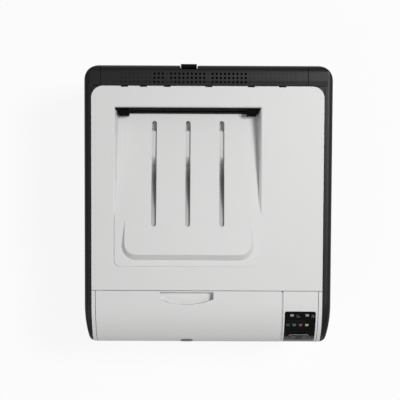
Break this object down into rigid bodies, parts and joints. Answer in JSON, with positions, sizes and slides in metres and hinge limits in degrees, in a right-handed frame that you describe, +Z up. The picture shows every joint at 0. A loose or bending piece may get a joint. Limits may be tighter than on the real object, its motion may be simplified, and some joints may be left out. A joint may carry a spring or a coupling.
{
  "type": "color laser printer",
  "caption": "Desktop color laser printer: white sloping top with an output bin, black side and rear covers, hinged front and rear doors and a pull-out paper cassette.",
  "frame": {"origin": "on the ground under the middle of the whole object", "axes": "+Z up, +Y to the back of the printer, +X to the right seen from the front"},
  "size_m": [0.399, 0.453, 0.254],
  "materials": {
    "white_plastic": "fine satin moulding",
    "black_plastic": "fine grained black moulding",
    "gloss_black": "polished lens",
    "dark_plastic": "plain inner moulding",
    "grey_plastic": "plain inner moulding",
    "zinc_steel": "zinc plated sheet",
    "rubber": "matte rubber",
    "belt_film": "smooth film",
    "drum_coat": "coated drum",
    "heat_sleeve": "heat resistant sleeve",
    "board_green": "lacquered board",
    "light_pipe": "clear light pipe",
    "button_grey": "soft button"
  },
  "bodies": {
    "chassis": {"left_side_panel": "black_plastic", "right_side_panel": "black_plastic", "base_pan": "black_plastic", "rubber_feet": "rubber", "left_side_plate": "zinc_steel", "right_side_plate": "zinc_steel", "top_cover": "white_plastic", "rear_top_cover": "black_plastic", "rear_wall": "black_plastic", "front_frame": "white_plastic", "status_lights": "light_pipe", "toner_lights": "light_pipe", "control_lens": "gloss_black", "control_housing": "white_plastic", "exit_guide": "black_plastic", "transfer_belt": "belt_film", "fuser_frame": "dark_plastic", "toner_cartridge_yellow": "dark_plastic", "toner_cartridge_magenta": "dark_plastic", "toner_cartridge_cyan": "dark_plastic", "toner_cartridge_black": "dark_plastic", "laser_scanner": "dark_plastic", "main_motor": "zinc_steel", "fan_frame": "dark_plastic", "power_inlet": "dark_plastic", "power_supply": "board_green", "main_board": "board_green"},
    "front_door": {"front_door": "white_plastic", "badge_blank": "button_grey"},
    "rear_door": {"rear_door": "black_plastic"},
    "rear_latch": {"rear_latch": "black_plastic"},
    "cassette": {"cassette_tray": "grey_plastic", "cassette_front": "white_plastic", "separation_pad": "rubber"},
    "lift_plate": {"lift_plate": "zinc_steel"},
    "side_guide_left": {"side_guide_left": "grey_plastic"},
    "side_guide_right": {"side_guide_right": "grey_plastic"},
    "guide_pinion": {"guide_pinion": "grey_plastic"},
    "length_guide": {"length_guide": "grey_plastic"},
    "sheet_guide_left": {"sheet_guide_left": "grey_plastic"},
    "sheet_guide_right": {"sheet_guide_right": "grey_plastic"},
    "cancel_button": {"cancel_button": "button_grey"},
    "resume_button": {"resume_button": "button_grey"},
    "power_button": {"power_button": "button_grey"},
    "fan_impeller": {"fan_impeller": "dark_plastic"},
    "motor_pinion": {"motor_pinion": "grey_plastic"},
    "belt_drive_roller": {"belt_drive_roller": "dark_plastic"},
    "belt_tension_roller": {"belt_tension_roller": "dark_plastic"},
    "transfer_roller": {"transfer_roller": "rubber"},
    "registration_roller": {"registration_roller": "rubber"},
    "registration_pinch_roller": {"registration_pinch_roller": "dark_plastic"},
    "pickup_roller": {"pickup_roller": "rubber"},
    "heat_roller": {"heat_roller": "heat_sleeve"},
    "pressure_roller": {"pressure_roller": "rubber"},
    "exit_roller": {"exit_roller": "rubber"},
    "exit_pinch_rollers": {"exit_pinch_rollers": "zinc_steel"},
    "photo_drum_yellow": {"photo_drum_yellow": "drum_coat"},
    "photo_drum_magenta": {"photo_drum_magenta": "drum_coat"},
    "photo_drum_cyan": {"photo_drum_cyan": "drum_coat"},
    "photo_drum_black": {"photo_drum_black": "drum_coat"}
  },
  "joints": [
    {"name": "front_door_hinge", "type": "hinge", "parent": "chassis", "child": "front_door", "pos_m": [0, -0.215, 0.091], "axis": [1, 0, 0], "range_deg": [0, 88]},
    {"name": "rear_door_hinge", "type": "hinge", "parent": "chassis", "child": "rear_door", "pos_m": [0, 0.2155, 0.07], "axis": [-1, 0, 0], "range_deg": [0, 88]},
    {"name": "rear_latch_pull", "type": "hinge", "parent": "rear_door", "child": "rear_latch", "pos_m": [0, 0.219, 0.214], "axis": [-1, 0, 0], "range_deg": [0, 10], "stiffness_Nm_per_rad": 0.05},
    {"name": "cassette_slide", "type": "slide", "parent": "chassis", "child": "cassette", "axis": [0, -1, 0], "range_m": [0, 0.3]},
    {"name": "lift_plate_hinge", "type": "hinge", "parent": "cassette", "child": "lift_plate", "pos_m": [0, 0.024, 0.0182], "axis": [1, 0, 0], "range_deg": [0, 11]},
    {"name": "side_guide_slide", "type": "slide", "parent": "cassette", "child": "side_guide_left", "axis": [1, 0, 0], "range_m": [0, 0.035]},
    {"name": "side_guide_right_slide", "type": "slide", "parent": "cassette", "child": "side_guide_right", "axis": [1, 0, 0], "range_m": [-0.035, 0]},
    {"name": "guide_pinion_spin", "type": "hinge", "parent": "cassette", "child": "guide_pinion", "pos_m": [-0.0327, -0.042, 0.017], "axis": [0, 0, 1], "range_deg": [-10, 260]},
    {"name": "length_guide_slide", "type": "slide", "parent": "cassette", "child": "length_guide", "axis": [0, -1, 0], "range_m": [-0.02, 0.06]},
    {"name": "sheet_guide_slide", "type": "slide", "parent": "chassis", "child": "sheet_guide_left", "axis": [1, 0, 0], "range_m": [0, 0.05]},
    {"name": "sheet_guide_right_slide", "type": "slide", "parent": "chassis", "child": "sheet_guide_right", "axis": [1, 0, 0], "range_m": [-0.05, 0]},
    {"name": "cancel_press", "type": "slide", "parent": "chassis", "child": "cancel_button", "axis": [0, 0.7071, -0.7071], "range_m": [0, 0.0008], "stiffness_N_per_m": 600},
    {"name": "resume_press", "type": "slide", "parent": "chassis", "child": "resume_button", "axis": [0, 0.7071, -0.7071], "range_m": [0, 0.0008], "stiffness_N_per_m": 600},
    {"name": "power_press", "type": "slide", "parent": "chassis", "child": "power_button", "axis": [0, 1, 0], "range_m": [0, 0.0008], "stiffness_N_per_m": 600},
    {"name": "fan_spin", "type": "hinge", "parent": "chassis", "child": "fan_impeller", "pos_m": [-0.172, 0.14, 0.178], "axis": [1, 0, 0], "continuous": true},
    {"name": "belt_drive_roller_spin", "type": "hinge", "parent": "chassis", "child": "belt_drive_roller", "pos_m": [0, 0.172, 0.096], "axis": [1, 0, 0], "continuous": true},
    {"name": "belt_tension_roller_spin", "type": "hinge", "parent": "chassis", "child": "belt_tension_roller", "pos_m": [0, -0.165, 0.096], "axis": [1, 0, 0], "continuous": true},
    {"name": "transfer_roller_spin", "type": "hinge", "parent": "chassis", "child": "transfer_roller", "pos_m": [0, 0.1918, 0.096], "axis": [1, 0, 0], "continuous": true},
    {"name": "registration_roller_spin", "type": "hinge", "parent": "chassis", "child": "registration_roller", "pos_m": [0, 0.1915, 0.076], "axis": [1, 0, 0], "continuous": true},
    {"name": "registration_pinch_roller_spin", "type": "hinge", "parent": "chassis", "child": "registration_pinch_roller", "pos_m": [0, 0.1782, 0.076], "axis": [1, 0, 0], "continuous": true},
    {"name": "pickup_roller_spin", "type": "hinge", "parent": "chassis", "child": "pickup_roller", "pos_m": [0, 0.146, 0.063], "axis": [1, 0, 0], "continuous": true},
    {"name": "heat_roller_spin", "type": "hinge", "parent": "chassis", "child": "heat_roller", "pos_m": [0, 0.176, 0.165], "axis": [1, 0, 0], "continuous": true},
    {"name": "pressure_roller_spin", "type": "hinge", "parent": "chassis", "child": "pressure_roller", "pos_m": [0, 0.1983, 0.165], "axis": [1, 0, 0], "continuous": true},
    {"name": "exit_roller_spin", "type": "hinge", "parent": "chassis", "child": "exit_roller", "pos_m": [0, 0.171, 0.229], "axis": [1, 0, 0], "continuous": true},
    {"name": "exit_pinch_rollers_spin", "type": "hinge", "parent": "chassis", "child": "exit_pinch_rollers", "pos_m": [0, 0.171, 0.2413], "axis": [1, 0, 0], "continuous": true},
    {"name": "photo_drum_yellow_spin", "type": "hinge", "parent": "chassis", "child": "photo_drum_yellow", "pos_m": [0, -0.128, 0.1198], "axis": [1, 0, 0], "continuous": true},
    {"name": "photo_drum_magenta_spin", "type": "hinge", "parent": "chassis", "child": "photo_drum_magenta", "pos_m": [0, -0.062, 0.1198], "axis": [1, 0, 0], "continuous": true},
    {"name": "photo_drum_cyan_spin", "type": "hinge", "parent": "chassis", "child": "photo_drum_cyan", "pos_m": [0, 0.004, 0.1198], "axis": [1, 0, 0], "continuous": true},
    {"name": "photo_drum_black_spin", "type": "hinge", "parent": "chassis", "child": "photo_drum_black", "pos_m": [0, 0.07, 0.1198], "axis": [1, 0, 0], "continuous": true},
    {"name": "motor_pinion_spin", "type": "hinge", "parent": "chassis", "child": "motor_pinion", "pos_m": [0.1, 0.15121, 0.108], "axis": [1, 0, 0], "continuous": true}
  ],
  "couplings": [
    {"joint": "belt_tension_roller_spin", "follows": "belt_drive_roller_spin", "ratio": 1},
    {"joint": "transfer_roller_spin", "follows": "belt_drive_roller_spin", "ratio": -1.4375},
    {"joint": "registration_roller_spin", "follows": "belt_drive_roller_spin", "ratio": -1.6429},
    {"joint": "registration_pinch_roller_spin", "follows": "belt_drive_roller_spin", "ratio": 1.9167},
    {"joint": "pickup_roller_spin", "follows": "belt_drive_roller_spin", "ratio": 1.0454},
    {"joint": "heat_roller_spin", "follows": "belt_drive_roller_spin", "ratio": 1.0454},
    {"joint": "pressure_roller_spin", "follows": "belt_drive_roller_spin", "ratio": -1.0454},
    {"joint": "exit_roller_spin", "follows": "belt_drive_roller_spin", "ratio": 1.6429},
    {"joint": "exit_pinch_rollers_spin", "follows": "belt_drive_roller_spin", "ratio": -2.3},
    {"joint": "photo_drum_yellow_spin", "follows": "belt_drive_roller_spin", "ratio": -0.95833},
    {"joint": "photo_drum_magenta_spin", "follows": "belt_drive_roller_spin", "ratio": -0.95833},
    {"joint": "photo_drum_cyan_spin", "follows": "belt_drive_roller_spin", "ratio": -0.95833},
    {"joint": "photo_drum_black_spin", "follows": "belt_drive_roller_spin", "ratio": -0.95833},
    {"joint": "motor_pinion_spin", "follows": "belt_drive_roller_spin", "ratio": -3},
    {"joint": "side_guide_right_slide", "follows": "side_guide_slide", "ratio": -1},
    {"joint": "guide_pinion_spin", "follows": "side_guide_slide", "rad_per_m": 120.48},
    {"joint": "sheet_guide_right_slide", "follows": "sheet_guide_slide", "ratio": -1}
  ]
}
